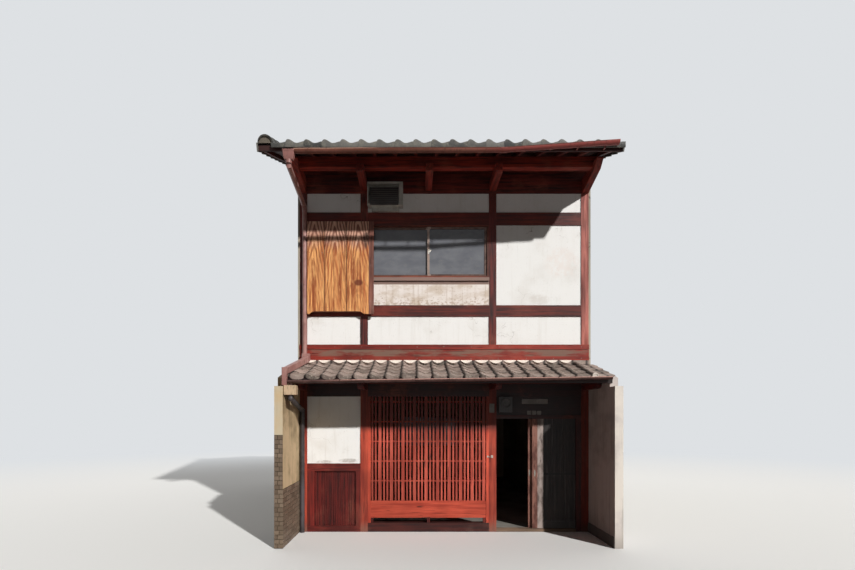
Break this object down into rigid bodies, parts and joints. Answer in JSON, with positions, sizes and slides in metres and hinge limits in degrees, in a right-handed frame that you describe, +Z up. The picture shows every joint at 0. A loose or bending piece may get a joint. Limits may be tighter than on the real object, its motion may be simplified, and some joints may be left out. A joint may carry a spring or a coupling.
{
  "type": "two-storey timber townhouse",
  "caption": "Narrow two-storey timber townhouse with red posts, plaster panels, a street lattice, tiled main and pent roofs and a sliding entrance door.",
  "frame": {"origin": "ground level, on the centre line of the front posts, halfway between the corner posts, on the underside of the front ground sill", "axes": "+X to the right along the street front, +Y into the house, +Z up"},
  "size_m": [4.983, 9.3524, 7.6129],
  "materials": {
    "concrete": "trowelled floor",
    "red_timber": "red iron-oxide stain, weathered",
    "brown_timber": "dark stain, weathered",
    "white_plaster": "lime plaster, lightly stained",
    "wall_coat": "rendered party wall",
    "window_glass": "clear pane",
    "floor_boards": "planed boards",
    "sash_metal": "anodised",
    "cedar_boards": "bare cedar with strong grain",
    "white_board": "peeling white paint on board",
    "grey_metal": "light grey enamel",
    "roof_tile": "smoked clay tile",
    "pent_tile": "weathered clay tile",
    "rain_plastic": "faded brown rain goods",
    "wing_plaster": "sand-coloured render over brick tile",
    "meter_housing": "grey housing",
    "dark_door": "near-black stain"
  },
  "bodies": {
    "house": {"ground_floor": "concrete", "front_sill": "red_timber", "front_posts": "red_timber", "lintel_beam": "red_timber", "floor_girder": "red_timber", "wall_rails": "red_timber", "skirt_boards": "red_timber", "plaster_panels": "white_plaster", "left_party_wall": "wall_coat", "right_party_wall": "wall_coat", "rear_wall": "white_plaster", "rear_timbers": "red_timber", "rear_window_frames": "brown_timber", "rear_window_glass": "window_glass", "upper_floor": "floor_boards", "floor_joists": "brown_timber", "roof_beams": "red_timber", "window_frame": "brown_timber", "window_sashes": "sash_metal", "window_glass": "window_glass", "shutter_box": "red_timber", "shutter_boards": "cedar_boards", "apron_board": "white_board", "ventilator": "grey_metal", "eave_brackets": "red_timber", "eave_purlin": "red_timber", "front_rafters": "red_timber", "rear_rafters": "red_timber", "front_roof_boards": "red_timber", "rear_roof_boards": "red_timber", "front_roof_tiles": "roof_tile", "rear_roof_tiles": "roof_tile", "verge_tiles": "roof_tile", "ridge_tiles": "roof_tile", "upper_gutter": "rain_plastic", "upper_downpipe": "rain_plastic", "pent_rafters": "red_timber", "pent_purlin": "red_timber", "pent_arms": "red_timber", "pent_boards": "red_timber", "pent_tiles": "pent_tile", "pent_gutter": "rain_plastic", "lower_downpipe": "rain_plastic", "left_wing_wall": "wing_plaster", "right_wing_wall": "wing_plaster", "bay_panel": "white_plaster", "dado_frame": "red_timber", "dado_boards": "red_timber", "lattice_frame": "red_timber", "lattice_bars": "red_timber", "door_frame": "red_timber", "transom_board": "red_timber", "threshold": "brown_timber", "meter_box": "meter_housing"},
    "front_leaf": {"front_door_leaf": "dark_door"},
    "rear_leaf": {"rear_door_leaf": "dark_door"}
  },
  "joints": [
    {"name": "front_leaf_slide", "type": "slide", "parent": "house", "child": "front_leaf", "axis": [-1, 0, 0], "range_m": [0, 0.563]},
    {"name": "rear_leaf_slide", "type": "slide", "parent": "house", "child": "rear_leaf", "axis": [-1, 0, 0], "range_m": [-0.055, 0.508]}
  ]
}
